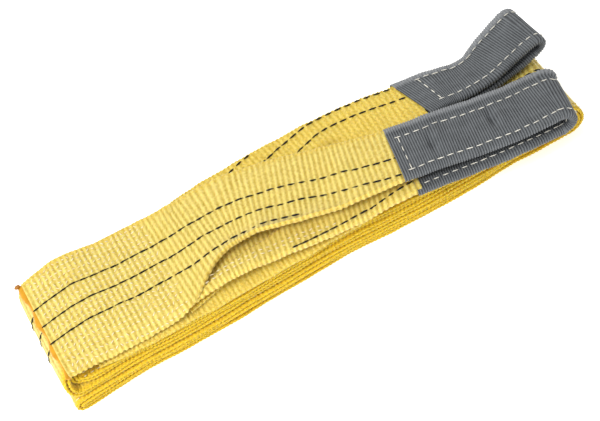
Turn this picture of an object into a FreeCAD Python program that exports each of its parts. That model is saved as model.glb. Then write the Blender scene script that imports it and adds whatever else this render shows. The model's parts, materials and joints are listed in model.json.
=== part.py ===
import FreeCAD, Part
import os
import re
import Sketcher

# Two-ply flat web sling, folded for storage. Millimetres, +Z up.
# Origin: the centre of the folded body's underside. +X runs along the body to the eyes' ends,
# +Y to the back eye's side. The body is six two-ply layers; both eyes lie on top of the fourth.

# ---------------------------------------------------------------- driving sizes

SIZES = {
    # strap
    "web_width": 90.0,
    "ply": 2.8,
    "ply_gap": 0.1,
    "layer_gap": 0.8,
    # folded body, along X
    "left_end": -199.0,
    "right_end": 199.0,
    "mid_fold_inset": 1.0,
    "lap_inset": 9.0,
    "splice_length": 89.0,
    "hidden_end_gap": 1.0,
    # eyes
    "eye_width": 46.0,
    "eye_gap": 4.6,
    "sleeve_wall": 1.1,
    "sleeve_clear": 0.1,
    "seat_gap": 0.5,
    "cross_gap": 0.3,
    "joint_gap": 0.2,
    "near_mouth_inset": 130.0,
    "near_side_gap": 0.8,
    "near_turn": -8.0,
    "near_length": 124.0,
    "near_arch_reach": 66.0,
    "near_arch_y": -8.0,
    "near_arch_width": 74.0,
    "near_arch_rise": 5.8,
    "back_mouth_inset": 99.0,
    "back_side_overlap": 3.2,
    "back_turn": 2.0,
    "back_length": 100.0,
    "back_pass_inset": 1.5,
    # thread
    "thread": 0.8,
    "thread_height": 0.3,
    "sleeve_row_spread": 30.0,
    "sleeve_row_start": 7.0,
    "splice_rows": 9,
    "splice_row_edge": 7.4,
    "splice_row_inset": 4.0,
    "edge_row_inset": 5.0,
    "edge_row_gap": 6.0,
    "margin_row_share": 0.76,
}

# Lengths that follow from the driving sizes, each written once.
DERIVED = {
    "duplex": "2 * ply + ply_gap",
    "upper_ply": "ply + ply_gap",
    "pitch": "duplex + layer_gap",
    "seat": "3 * pitch + duplex",
    "left_fold_x": "left_end + 1.5 * pitch + duplex / 2",
    "mid_fold_x": "left_end + mid_fold_inset + pitch / 2 + duplex / 2",
    "right_fold_x": "right_end - 1.5 * pitch - duplex / 2",
    "lap_z": "5 * pitch + duplex + ply_gap",
    "splice_start": "left_end + lap_inset",
    "splice_end": "splice_start + splice_length",
    "splice_row_pitch": "(web_width - 2 * splice_row_edge) / (splice_rows - 1)",
    "edge_row_start": "splice_end + edge_row_gap",
    "wall": "sleeve_wall + sleeve_clear",
    "leg_height": "2 * (ply + wall)",
    "sleeve_width": "eye_width + 2 * wall",
    "eye_radius": "leg_height + eye_gap / 2",
    "eye_height": "2 * eye_radius",
    "upper_web_z": "leg_height + eye_gap + wall",
    "near_mouth_x": "right_end - near_mouth_inset",
    "near_mouth_y": "-(sleeve_width / 2 + near_side_gap)",
    "near_arch_x": "splice_end + near_arch_reach",
    "back_mouth_x": "right_end - back_mouth_inset",
    "back_mouth_y": "sleeve_width / 2 - back_side_overlap",
    "back_pass_y": "eye_width / 2 + back_pass_inset",
    "back_mouth_z": "seat + seat_gap",
    "back_pass_z": "seat + seat_gap",
    "back_pass_top": "2 * ply + thread_height + ply_gap",
    "near_mouth_z": "back_pass_z + back_pass_top + cross_gap - wall",
}


def formula(text):
    """The text as a sheet expression: derived words spelled out, driving words looked up."""
    for word in reversed(list(DERIVED)):
        text = re.sub(rf"\b{word}\b", f"({DERIVED[word]})", text)
    if any(re.search(rf"\b{word}\b", text) for word in DERIVED):
        return formula(text)
    return re.sub(rf"\b({'|'.join(SIZES)})\b", r"Sizes.\1", text)


# ---------------------------------------------------------------- document and helpers

doc = FreeCAD.newDocument("WebSling")
sheet = doc.addObject("Spreadsheet::Sheet", "Sizes")
for row, (alias, number) in enumerate(SIZES.items(), start=1):
    sheet.set(f"A{row}", alias)
    sheet.set(f"B{row}", str(number))
    sheet.setAlias(f"B{row}", alias)
doc.recompute()

ALONG_Y = FreeCAD.Rotation(FreeCAD.Vector(1, 0, 0), -90)
ACROSS_X = FreeCAD.Rotation(FreeCAD.Vector(1, 1, 1), 120)
TOWARDS = {"left": 90, "right": -90}


def about_z(degrees):
    return FreeCAD.Rotation(FreeCAD.Vector(0, 0, 1), degrees)


def bind(thing, name, text):
    thing.setExpression(name, formula(text))


def bind_base(thing, place):
    for axis, text in zip("xyz", place):
        bind(thing, f".Placement.Base.{axis}", text)


def slab(name, low, size):
    """A box from its low corner and its three sizes."""
    box = doc.addObject("Part::Box", name)
    bind_base(box, low)
    for side, text in zip(("Length", "Width", "Height"), size):
        bind(box, side, text)
    return box


def drum(name, radius, width, centre, rotation, angle=360):
    """A cylinder whose axis runs along Y, centred on the strap's width."""
    cylinder = doc.addObject("Part::Cylinder", name)
    cylinder.Placement = FreeCAD.Placement(FreeCAD.Vector(), rotation)
    cylinder.Angle = angle
    bind(cylinder, "Radius", radius)
    bind(cylinder, "Height", width)
    centre_x, centre_y, centre_z = centre
    bind_base(cylinder, (centre_x, f"{centre_y} - ({width}) / 2", centre_z))
    return cylinder


def half_ring(name, side, inner_radius, thickness, width, centre):
    """A strap's half turn about an axis along Y, bulging to the left or the right."""
    rotation = ALONG_Y.multiply(about_z(TOWARDS[side]))
    ring = doc.addObject("Part::Cut", name)
    ring.Base = drum(f"{name}_rim", f"{inner_radius} + {thickness}", width, centre, rotation, 180)
    ring.Tool = drum(f"{name}_bore", inner_radius, width, centre, rotation)
    return ring


def fuse(name, shapes):
    whole = doc.addObject("Part::MultiFuse", name)
    whole.Shapes = shapes
    whole.Refine = True
    return whole


def group(name, shapes):
    """Separate solids kept apart in one node."""
    bundle = doc.addObject("Part::Compound", name)
    bundle.Links = shapes
    return bundle


def section(name, width, height, place, turn=0.0):
    """An upright rectangle across the strap, standing on the middle of its lower edge."""
    sketch = doc.addObject("Sketcher::SketchObject", name)
    corners = [FreeCAD.Vector(*xy, 0) for xy in ((-1, 0), (1, 0), (1, 1), (-1, 1))]
    for start, end in zip(corners, corners[1:] + corners[:1]):
        sketch.addGeometry(Part.LineSegment(start, end), False)
    for edge in range(4):
        sketch.addConstraint(
            Sketcher.Constraint("Coincident", edge, 2, (edge + 1) % 4, 1)
        )
    for edge, kind in enumerate(("Horizontal", "Vertical", "Horizontal", "Vertical")):
        sketch.addConstraint(Sketcher.Constraint(kind, edge))
    sketch.addConstraint(Sketcher.Constraint("Symmetric", 0, 1, 0, 2, -1, 1))
    wide = sketch.addConstraint(Sketcher.Constraint("DistanceX", 0, 1, 0, 2, 2.0))
    high = sketch.addConstraint(Sketcher.Constraint("DistanceY", 1, 1, 1, 2, 1.0))
    bind(sketch, f"Constraints[{wide}]", width)
    bind(sketch, f"Constraints[{high}]", height)
    sketch.Placement = FreeCAD.Placement(FreeCAD.Vector(), about_z(turn).multiply(ACROSS_X))
    bind_base(sketch, place)
    return sketch


def strap_leg(name, stations):
    """A strap that changes width and height from station to station."""
    loft = doc.addObject("Part::Loft", name)
    loft.Sections = [section(f"{name}_{n}", *one) for n, one in enumerate(stations)]
    loft.Solid = True
    loft.Ruled = True
    return loft


# ---------------------------------------------------------------- folded body

# Each layer: its number from the bottom, and where it starts and ends along X.
LAYERS = (
    (5, "left_fold_x", "splice_end"),
    (2, "left_fold_x", "right_fold_x"),
    (1, "mid_fold_x", "right_fold_x"),
    (0, "mid_fold_x", "right_fold_x"),
    (3, "left_fold_x", "right_fold_x"),
    (4, "left_fold_x", "splice_end"),
)

# Each fold: the two layers it joins, its side, its axis, and whether the outer ply is outside.
FOLDS = (
    (2, 5, "left", "left_fold_x", True),
    (1, 2, "right", "right_fold_x", False),
    (0, 1, "left", "mid_fold_x", True),
    (0, 3, "right", "right_fold_x", True),
    (3, 4, "left", "left_fold_x", False),
)


def body_ply(name, is_outer):
    """One of the body's two plies: its six straight runs and its five half turns."""
    pieces = []
    for layer, start, end in LAYERS:
        on_top = (layer % 2 == 1) == is_outer
        lift = "upper_ply" if on_top else "0"
        if layer == 5 and is_outer:
            end = f"{end} - hidden_end_gap"
        low = (start, "-web_width / 2", f"{layer} * pitch + {lift}")
        size = (f"({end}) - ({start})", "web_width", "ply")
        pieces.append(slab(f"{name}_layer_{layer}", low, size))
    for lower, upper, side, axis_x, outer_is_outside in FOLDS:
        outside = outer_is_outside == is_outer
        extra = "upper_ply" if outside else "0"
        inner_radius = f"{(upper - lower) / 2} * pitch - duplex / 2 + {extra}"
        centre = (axis_x, "0", f"{(upper + lower) / 2} * pitch + duplex / 2")
        fold = f"{name}_fold_{lower}_{upper}"
        pieces.append(half_ring(fold, side, inner_radius, "ply", "web_width", centre))
    return fuse(name, pieces)


def row(name, start, end, y, z):
    """One straight row of thread lying on a face."""
    low = (start, f"{y} - thread / 2", z)
    return slab(name, low, (f"({end}) - ({start})", "thread", "thread_height"))


def splice_rows(name, z):
    """Parallel rows of thread along a splice."""
    rows = []
    count = int(SIZES["splice_rows"])
    for n in range(count):
        y = f"({n} - (splice_rows - 1) / 2) * splice_row_pitch"
        start = "splice_start + splice_row_inset"
        rows.append(row(f"{name}_{n}", start, "splice_end - splice_row_inset", y, z))
    return group(name, rows)


lap_size = ("splice_end - splice_start", "web_width", "ply")
edge_y = "web_width / 2 - edge_row_inset"
nodes = [
    body_ply("body_outer_ply", True),
    body_ply("body_inner_ply", False),
    slab("splice_lap_ply", ("splice_start", "-web_width / 2", "lap_z"), lap_size),
    splice_rows("near_splice_stitching", "lap_z + ply"),
    splice_rows("back_splice_stitching", "4 * pitch + duplex"),
    group(
        "body_edge_stitching",
        [
            row("edge_row_near", "edge_row_start", "right_fold_x", f"-({edge_y})", "seat"),
            row("edge_row_back", "edge_row_start", "right_fold_x", edge_y, "seat"),
        ],
    ),
]


# ---------------------------------------------------------------- legs of the eyes

near_turn = SIZES["near_turn"]
back_turn = SIZES["back_turn"]
folded = "2 * ply"


def mouth(side, web_z, turn):
    """Where a leg meets its eye's loop: folded to the eye's width, square to the eye."""
    place = (f"{side}_mouth_x - joint_gap", f"{side}_mouth_y", f"{side}_mouth_z + {web_z}")
    return ("eye_width", folded, place, turn)


def root(z):
    """Where a leg leaves the splice, at the strap's full width."""
    return ("web_width", "ply", ("splice_end", "0", z))


arch_z = "lap_z + near_arch_rise"
arch = ("near_arch_width", "ply", ("near_arch_x", "near_arch_y", arch_z))
pass_x = "near_mouth_x"
back_lower_pass = ("eye_width", "ply", (pass_x, "back_pass_y", "back_pass_z"))
back_upper_pass = ("eye_width", "ply", (pass_x, "back_pass_y", "back_pass_z + back_pass_top - ply"))

nodes += [
    strap_leg("near_eye_upper_leg", [root("lap_z"), arch, mouth("near", "upper_web_z", near_turn)]),
    strap_leg("near_eye_lower_leg", [root("5 * pitch"), mouth("near", "wall", near_turn)]),
    strap_leg(
        "back_eye_upper_leg",
        [
            root("4 * pitch + upper_ply"),
            back_upper_pass,
            mouth("back", "upper_web_z", back_turn),
        ],
    ),
    strap_leg(
        "back_eye_lower_leg",
        [root("4 * pitch"), back_lower_pass, mouth("back", "wall", back_turn)],
    ),
]


def margin_row(name, stations, side):
    """A row of thread along a leg's upper face, at a steady share of its width."""
    ends = []
    for width, height, (x, y, z), *turn in stations:
        reach = f"{side} * margin_row_share * ({width}) / 2"
        angle = turn[0] if turn else 0.0
        place = (f"{x} - {reach} * sin({angle})", f"{y} + {reach} * cos({angle})", f"{z} + {height}")
        ends.append(("thread", "thread_height", place, angle))
    return strap_leg(name, ends)


def margin_rows(name, stations):
    return group(name, [margin_row(f"{name}_{n}", stations, n) for n in (-1, 1)])


near_lower_stations = [root("5 * pitch"), mouth("near", "wall", near_turn)]
back_lower_stations = [back_lower_pass, mouth("back", "wall", back_turn)]
nodes += [
    margin_rows("near_margin_stitching", near_lower_stations),
    margin_rows("back_margin_stitching", back_lower_stations),
]


# ---------------------------------------------------------------- loops, sleeves and their thread


def loop_band(name, side, start, inset, thickness, width, centre_y="0"):
    """A band that runs out along the lower leg, round the eye's end and back along the upper."""
    bend_x = f"{side}_length - eye_radius"
    low_y = f"{centre_y} - ({width}) / 2"
    size = (f"{bend_x} - ({start})", width, thickness)
    upper_z = f"eye_height - ({inset}) - ({thickness})"
    return fuse(
        name,
        [
            slab(f"{name}_lower", (start, low_y, inset), size),
            slab(f"{name}_upper", (start, low_y, upper_z), size),
            half_ring(
                f"{name}_end",
                "right",
                f"eye_radius - ({inset}) - ({thickness})",
                thickness,
                width,
                (bend_x, centre_y, "eye_radius"),
            ),
        ],
    )


def sleeve(name, side):
    """A closed tube round the folded strap, open at the two mouths."""
    cover = doc.addObject("Part::Cut", name)
    cover.Base = loop_band(f"{name}_outside", side, "0", "0", "leg_height", "sleeve_width")
    bore_height = "leg_height - 2 * sleeve_wall"
    bore_width = "sleeve_width - 2 * sleeve_wall"
    cover.Tool = loop_band(f"{name}_inside", side, "-1", "sleeve_wall", bore_height, bore_width)
    return cover


def sleeve_thread(name, side):
    """Two rows along the sleeve joined by a row across each mouth."""
    pieces = []
    for n in (-1, 1):
        y = f"{n} * sleeve_row_spread / 2"
        band = ("sleeve_row_start", "-thread_height", "thread_height", "thread", y)
        pieces.append(loop_band(f"{name}_row_{n + 1}", side, *band))
    size = ("thread", "sleeve_row_spread", "thread_height")
    for n, z in enumerate(("-thread_height", "eye_height")):
        low = ("sleeve_row_start", "-sleeve_row_spread / 2", z)
        pieces.append(slab(f"{name}_across_{n}", low, size))
    return fuse(name, pieces)


for side, turn in (("near", near_turn), ("back", back_turn)):
    eye = [
        loop_band(f"{side}_eye_loop", side, "0", "wall", folded, "eye_width"),
        sleeve(f"{side}_eye_sleeve", side),
        sleeve_thread(f"{side}_sleeve_stitching", side),
    ]
    for piece in eye:
        piece.Placement = FreeCAD.Placement(FreeCAD.Vector(), about_z(turn))
        bind_base(piece, [f"{side}_mouth_{axis}" for axis in "xyz"])
    nodes += eye


# ---------------------------------------------------------------- check and write

doc.recompute()
for thing in doc.Objects:
    if {"Invalid", "Error"} & set(thing.State):
        raise RuntimeError(f"{thing.Name} failed: {thing.State}")

os.makedirs("parts", exist_ok=True)
for node in nodes:
    node.Label = node.Name
    shape = node.Shape
    if shape.isNull() or not shape.isValid():
        raise RuntimeError(f"{node.Name} has no valid shape")
    shape.exportStep(f"parts/{node.Label}.step")
    print(f"{node.Label}: {len(shape.Solids)} solids, {shape.Volume / 1000:.1f} cm3")
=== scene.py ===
# %% [markdown]
# # A folded flat web sling
# A lifting sling is one long woven strap, sewn to itself in two plies, with a loop (an eye) at each
# end. Here it is folded for storage: six two-ply layers, and both eyes on top in grey sleeves.
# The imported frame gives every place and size. What Blender adds is the cloth: ribs, selvedges,
# folded margins, thread and colour.

# %% Load the frame
import json
import math

import bpy
import numpy as np
from mathutils import Matrix, Vector


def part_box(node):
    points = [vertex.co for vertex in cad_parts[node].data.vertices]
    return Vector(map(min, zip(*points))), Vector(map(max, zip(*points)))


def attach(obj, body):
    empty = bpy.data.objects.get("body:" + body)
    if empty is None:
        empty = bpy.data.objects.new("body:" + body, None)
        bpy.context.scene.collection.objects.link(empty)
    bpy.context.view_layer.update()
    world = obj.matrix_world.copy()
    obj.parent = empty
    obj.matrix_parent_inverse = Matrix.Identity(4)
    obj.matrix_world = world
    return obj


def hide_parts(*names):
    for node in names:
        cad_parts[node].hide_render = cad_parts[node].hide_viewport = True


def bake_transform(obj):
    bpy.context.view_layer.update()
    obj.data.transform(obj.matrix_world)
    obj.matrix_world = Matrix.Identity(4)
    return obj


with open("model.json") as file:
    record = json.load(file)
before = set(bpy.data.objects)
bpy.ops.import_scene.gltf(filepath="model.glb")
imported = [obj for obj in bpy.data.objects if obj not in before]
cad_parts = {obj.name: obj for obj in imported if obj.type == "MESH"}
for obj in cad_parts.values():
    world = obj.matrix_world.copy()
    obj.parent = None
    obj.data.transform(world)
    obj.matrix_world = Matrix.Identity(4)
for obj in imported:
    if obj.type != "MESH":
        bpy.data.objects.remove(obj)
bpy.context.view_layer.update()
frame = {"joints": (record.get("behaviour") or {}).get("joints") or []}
MM = 0.001

# %% [markdown]
# ## Sizes
# The strap's ply is as thick as the lapped end's box is high. The layers' pitch follows from the
# height of the body's outer ply, which passes through all six layers.

# %% Read the sizes from the frame
lap_low, lap_high = (np.array(c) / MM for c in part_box("splice_lap_ply"))
body_low, body_high = (np.array(c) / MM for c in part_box("body_outer_ply"))
WIDTH = lap_high[1] - lap_low[1]
PLY = lap_high[2] - lap_low[2]
PLY_GAP = 0.1
DUPLEX = 2 * PLY + PLY_GAP
PITCH = (body_high[2] - body_low[2] - DUPLEX) / 5
LAP_Z = 5 * PITCH + DUPLEX + PLY_GAP
SPLICE_END = lap_high[0]
# Pitch and height of the ribs, and of the knots along a selvedge.
RIB = 3.8
SLEEVE_RIB = 1.75
KNOT = 2.9
BODY_RIB_HEIGHT = 0.34
LEG_RIB_HEIGHT = 0.31
SLEEVE_RIB_HEIGHT = 0.34
KNOT_HEIGHT = 0.42
KNOT_SLANT = 1.9
# Gap inside a folded margin, and how far the points of a mesh are apart along its path.
FLAP_GAP = 0.15
BODY_STEP = 0.68
LEG_STEP = 0.42
SLEEVE_STEP = 0.32
print(f"strap {WIDTH:.1f} x {PLY:.1f} mm, layers every {PITCH:.2f} mm")

# %% [markdown]
# ## Camera, light and floor
# A long lens keeps the strap's edges nearly parallel. The camera looks down from above the near
# left side and is rolled, so the sling runs up to the right. Three soft lamps and a pale sky give
# even light with a weak shadow.

# %% Camera
AIM = np.array([-1.6, -6.6, 23.6]) * MM
AZIMUTH = -10.0
ELEVATION = 50.0
ROLL = 22.1
LENS = 100.0
SENSOR = 36.0
# Width of what the camera sees at AIM, in millimetres.
VIEW_WIDTH = 408.163


def add_object(name, data):
    made = bpy.data.objects.new(name, data)
    bpy.context.scene.collection.objects.link(made)
    return made


def add_camera():
    camera = add_object("camera", bpy.data.cameras.new("camera"))
    camera.data.lens = LENS
    camera.data.sensor_width = SENSOR
    distance = VIEW_WIDTH * LENS / SENSOR * MM
    azimuth, elevation = math.radians(AZIMUTH), math.radians(ELEVATION)
    level = math.cos(elevation)
    back = np.array([math.sin(azimuth) * level, -math.cos(azimuth) * level, math.sin(elevation)])
    camera.location = AIM + back * distance
    turned = Vector(-back).to_track_quat("-Z", "Y").to_matrix()
    rolled = turned @ Matrix.Rotation(math.radians(-ROLL), 3, "Z")
    camera.rotation_euler = rolled.to_euler()
    bpy.context.scene.camera = camera


add_camera()


# %% Lamps and sky
def area_lamp(name, place, power, size):
    lamp = add_object(name, bpy.data.lights.new(name, "AREA"))
    lamp.location = place
    lamp.data.energy = power
    lamp.data.size = size
    lamp.rotation_euler = (Vector(AIM) - Vector(place)).to_track_quat("-Z", "Y").to_euler()


area_lamp("key", (-0.74, -0.36, 0.98), 12.0, 0.45)
area_lamp("fill", (0.4, -1.25, 0.5), 2.8, 1.2)
area_lamp("back", (0.1, 1.2, 0.9), 5.0, 1.0)
world = bpy.data.worlds.new("sky")
bpy.context.scene.world = world
world.use_nodes = True
sky = world.node_tree.nodes["Background"]
sky.inputs["Color"].default_value = (1, 1, 1, 1)
sky.inputs["Strength"].default_value = 0.6
bpy.context.scene.view_settings.view_transform = "Standard"

# %% [markdown]
# ## Finishes
# Woven cloth is read from each piece's UV map, in millimetres: U runs across the strap and V along
# it. The ribs are real relief in the mesh; the nodes add the warp yarns between them, a painted
# highlight on the crowns and painted shade in the valleys, and the loosely braided edge, which a
# point attribute marks. The same attribute also lays painted light: a painted highlight on the
# sleeves' rim and rounded sides, and painted shade over the back eye's legs.


# %% Node helpers
def new_material(name):
    material = bpy.data.materials.new(name)
    material.use_nodes = True
    tree = material.node_tree
    shader = tree.nodes["Principled BSDF"]
    return material, tree, shader


def put(made, key, value):
    """Links a socket to an input, or sets the input to a value."""
    if isinstance(value, bpy.types.NodeSocket):
        made.id_data.links.new(value, made.inputs[key])
    else:
        made.inputs[key].default_value = value


def node(tree, kind, inputs=None, **settings):
    made = tree.nodes.new(kind)
    for key, value in settings.items():
        setattr(made, key, value)
    for key, value in (inputs or {}).items():
        put(made, key, value)
    return made


def maths(tree, operation, *values):
    made = tree.nodes.new("ShaderNodeMath")
    made.operation = operation
    for n, value in enumerate(values):
        put(made, n, value)
    return made.outputs[0]


def mix_colour(tree, share, low, high):
    made = node(tree, "ShaderNodeMix", data_type="RGBA")
    for key, value in ((0, share), (6, low), (7, high)):
        put(made, key, value)
    return made.outputs[2]


def wave(tree, coordinate, pitch, phase=0.0):
    """0 in the valleys, 1 on the crests of a wave along a coordinate in millimetres."""
    turned = maths(tree, "MULTIPLY_ADD", coordinate, 2 * math.pi / pitch, phase)
    return maths(tree, "MULTIPLY_ADD", maths(tree, "COSINE", turned), 0.5, 0.5)


def uv_mm(tree):
    uv = node(tree, "ShaderNodeUVMap", uv_map="strap")
    split = node(tree, "ShaderNodeSeparateXYZ", {0: uv.outputs[0]})
    across = maths(tree, "MULTIPLY", split.outputs[0], 1000.0)
    along = maths(tree, "MULTIPLY", split.outputs[1], 1000.0)
    return uv.outputs[0], across, along


# %% Woven cloth
def woven(name, crest_highlight_colour, valley_shade_colour, edge_and_light_colour, rib, warp, sheen, relief, mottle, speckle, glow):
    """A ribbed woven tape: colour by rib and yarn, with a painted highlight on the rib crests and
    painted shade in the valleys, a second colour at marked points for the selvedge and for painted
    light, fine yarn relief.

    mottle is how strong the slow changes of shade are, speckle the fine ones, glow the light that
    comes through the yarn."""
    material, tree, shader = new_material(name)
    uv, across, along = uv_mm(tree)
    ribs = wave(tree, along, rib)
    yarns = wave(tree, across, warp)
    shifted = wave(tree, along, rib, math.pi)
    checker = wave(tree, across, 2 * warp)
    over = maths(tree, "MULTIPLY", ribs, checker)
    under = maths(tree, "MULTIPLY", shifted, maths(tree, "SUBTRACT", 1.0, checker))
    picks = maths(tree, "ADD", over, under)
    place = node(tree, "ShaderNodeMapping", {0: uv, 3: (1000.0, 1000.0, 1000.0)})
    stretch = node(tree, "ShaderNodeMapping", {0: uv, 3: (350.0, 90.0, 90.0)})

    def noise(at, scale, detail):
        inputs = {"Vector": at.outputs[0], "Scale": scale, "Detail": detail}
        return node(tree, "ShaderNodeTexNoise", inputs).outputs[0]

    fuzz = noise(place, 0.75, 4.0)
    fleck = noise(place, 0.42, 2.0)
    drift = noise(stretch, 0.6, 2.0)
    rough = maths(tree, "ADD", fuzz, maths(tree, "SUBTRACT", fleck, 1.0))
    lift = maths(tree, "MULTIPLY_ADD", ribs, 0.66, maths(tree, "MULTIPLY", yarns, 0.12))
    lift = maths(tree, "MULTIPLY_ADD", rough, speckle, maths(tree, "ADD", lift, 0.2))
    lift = maths(tree, "MULTIPLY_ADD", drift, mottle, lift)
    lift = maths(tree, "SUBTRACT", lift, 0.5 * mottle)
    # Painted highlight on the rib crests and painted shade in the rib valleys, with random mottle and
    # speckle on top.
    colour = mix_colour(tree, maths(tree, "MINIMUM", lift, 1.0), valley_shade_colour, crest_highlight_colour)
    # This mark lays the second colour: the selvedge braid, and also painted light, which is a painted
    # highlight on the sleeves' rim and sides and painted shade on the back eye's legs.
    edge_and_light_mark = node(tree, "ShaderNodeAttribute", attribute_name="edge_and_light_mark")
    knots = wave(tree, maths(tree, "ADD", along, maths(tree, "MULTIPLY", across, 0.8)), KNOT)
    shade = tuple(0.62 * c for c in edge_and_light_colour[:3]) + (1,)
    knotted = maths(tree, "MULTIPLY_ADD", rough, 1.6, maths(tree, "MULTIPLY_ADD", knots, 0.5, 0.3))
    braid = mix_colour(tree, knotted, shade, edge_and_light_colour)
    colour = mix_colour(tree, edge_and_light_mark.outputs["Fac"], colour, braid)
    height = maths(tree, "MULTIPLY_ADD", picks, 0.6, maths(tree, "MULTIPLY", yarns, 0.4))
    height = maths(tree, "ADD", height, maths(tree, "MULTIPLY", rough, speckle))
    bump = node(tree, "ShaderNodeBump", {"Height": height, "Distance": relief, "Strength": 0.8})
    look = {
        "Base Color": colour,
        "Normal": bump.outputs[0],
        "Roughness": 0.62,
        "Subsurface Weight": glow,
        "Subsurface Radius": (1.0, 0.75, 0.2),
        "Subsurface Scale": 0.003,
        "Sheen Weight": sheen,
        "Sheen Roughness": 0.4,
        "Specular IOR Level": 0.35,
    }
    for key, value in look.items():
        put(shader, key, value)
    return material


webbing = woven(
    "yellow_webbing",
    crest_highlight_colour=(0.80, 0.65, 0.18, 1),
    valley_shade_colour=(0.48, 0.32, 0.03, 1),
    edge_and_light_colour=(0.90, 0.60, 0.02, 1),
    rib=RIB,
    warp=1.3,
    sheen=0.25,
    relief=0.00015,
    mottle=0.55,
    speckle=1.15,
    glow=0.3,
)
sleeve_cloth = woven(
    "grey_sleeve",
    crest_highlight_colour=(0.175, 0.187, 0.197, 1),
    valley_shade_colour=(0.004, 0.005, 0.006, 1),
    # The lighter edge colour is a painted highlight, laid on the rim and the rounded sides.
    edge_and_light_colour=(0.33, 0.34, 0.35, 1),
    rib=SLEEVE_RIB,
    warp=1.1,
    sheen=0.15,
    relief=0.00012,
    mottle=0.5,
    speckle=0.3,
    glow=0.0,
)


# %% Thread, tracer yarn and the melted end
def plain(name, light, dark, roughness, scale):
    """A yarn's colour with a little variation from place to place."""
    material, tree, shader = new_material(name)
    place = node(tree, "ShaderNodeTexCoord")
    noise = node(tree, "ShaderNodeTexNoise", {"Vector": place.outputs["Object"], "Scale": scale})
    put(shader, "Base Color", mix_colour(tree, noise.outputs[0], dark, light))
    put(shader, "Roughness", roughness)
    put(shader, "Specular IOR Level", 0.25)
    return material


thread = plain("white_thread", (0.9, 0.88, 0.8, 1), (0.66, 0.62, 0.5, 1), 0.6, 300)
tracer_yarn = plain("black_tracer", (0.022, 0.02, 0.016, 1), (0.006, 0.006, 0.006, 1), 0.8, 300)
splice_yarn = plain("splice_yarn", (0.92, 0.87, 0.68, 1), (0.70, 0.58, 0.30, 1), 0.7, 300)
melted = plain("melted_knob", (0.55, 0.24, 0.04, 1), (0.22, 0.09, 0.02, 1), 0.35, 500)
sealed = plain("sealed_end", (0.82, 0.42, 0.02, 1), (0.42, 0.17, 0.01, 1), 0.4, 120)
print("materials:", [m.name for m in bpy.data.materials])

# %% [markdown]
# ## A strap as a swept ring
# A ply of webbing is a flat ring of points carried along a path. At each station the path has a
# place, a direction across the strap and one out of its face. The ribs are a small wave along the
# path, pushed out of the faces; at the two selvedges the wave runs aslant, like a braid.


# %% Smooth curves through named stations
def through(stations, values, at):
    """A smooth curve through values at stations, read at any place."""
    stations = np.asarray(stations, float)
    values = np.asarray(values, float)
    slopes = np.gradient(values, stations)
    n = np.clip(np.searchsorted(stations, at) - 1, 0, len(stations) - 2)
    wide = stations[n + 1] - stations[n]
    t = np.clip((at - stations[n]) / wide, 0, 1)
    rise = values[n] * (1 + 2 * t) * (1 - t) ** 2 + values[n + 1] * t**2 * (3 - 2 * t)
    return rise + wide * (slopes[n] * t * (1 - t) ** 2 + slopes[n + 1] * t**2 * (t - 1))


def ease(t):
    """0 before t = 0 and 1 after t = 1, with a soft start and a soft end."""
    t = np.clip(t, 0, 1)
    return t * t * (3 - 2 * t)


# %% Sweep helper
def unit(vectors):
    return vectors / np.maximum(np.linalg.norm(vectors, axis=-1, keepdims=True), 1e-9)


def lengths_along(path):
    steps = np.linalg.norm(np.diff(path, axis=0), axis=1)
    return np.concatenate([[0.0], np.cumsum(steps)])


def resample(path, step, *others):
    """Even stations along a path, and anything else that goes with its points."""
    along = lengths_along(path)
    count = max(int(round(along[-1] / step)), 2)
    at = np.linspace(0, along[-1], count + 1)
    moved = [
        np.stack([np.interp(at, along, column) for column in values.T], axis=1)
        for values in (path, *others)
    ]
    return at, moved


def make_mesh(name, points, faces, uvs, edge_and_light_mark, material):
    """Points in millimetres; one UV pair for each face corner."""
    mesh = bpy.data.meshes.new(name)
    mesh.from_pydata((points * MM).tolist(), [], faces)
    layer = mesh.uv_layers.new(name="strap")
    layer.data.foreach_set("uv", (np.asarray(uvs) * MM).ravel())
    mark = mesh.attributes.new("edge_and_light_mark", "FLOAT", "POINT")
    mark.data.foreach_set("value", np.asarray(edge_and_light_mark, dtype=np.float32))
    mesh.polygons.foreach_set("use_smooth", np.ones(len(mesh.polygons), dtype=bool))
    mesh.materials.append(material)
    return add_object(name, mesh)


def skin(name, rings, across, along, edge_and_light_mark, material):
    """Closes a row of rings into a solid. across has one more column than the ring has points."""
    stations, count, _ = rings.shape
    points = rings.reshape(-1, 3)
    i, j = np.meshgrid(np.arange(stations - 1), np.arange(count), indexing="ij")
    k = (j + 1) % count
    quads = np.stack(
        [i * count + j, (i + 1) * count + j, (i + 1) * count + k, i * count + k], axis=-1
    ).reshape(-1, 4)
    u0, u1 = across[i, j], across[i, j + 1]
    u2, u3 = across[i + 1, j + 1], across[i + 1, j]
    v0, v1 = along[i], along[i + 1]
    uvs = np.stack([u0, v0, u3, v1, u2, v1, u1, v0], axis=-1).reshape(-1, 2)
    first = list(range(count))
    last = [(stations - 1) * count + n for n in reversed(range(count))]
    faces = quads.tolist() + [first, last]
    caps = [[across[0, n], along[0]] for n in first]
    caps += [[across[-1, n % count], along[-1]] for n in reversed(range(count))]
    return make_mesh(name, points, faces, np.vstack([uvs, caps]), edge_and_light_mark, material)


def ring_normals(a, h):
    """Outward directions of a ring given as across and up coordinates, station by station."""
    da = np.roll(a, -1, axis=1) - np.roll(a, 1, axis=1)
    dh = np.roll(h, -1, axis=1) - np.roll(h, 1, axis=1)
    size = np.maximum(np.hypot(da, dh), 1e-6)
    return -dh / size, da / size


def girth(a, h):
    """Distance round each ring from its first point, back to that point in a last column."""
    steps = np.hypot(np.diff(a, axis=1, append=a[:, :1]), np.diff(h, axis=1, append=h[:, :1]))
    return np.concatenate([np.zeros((len(a), 1)), np.cumsum(steps, axis=1)], axis=1)


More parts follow.
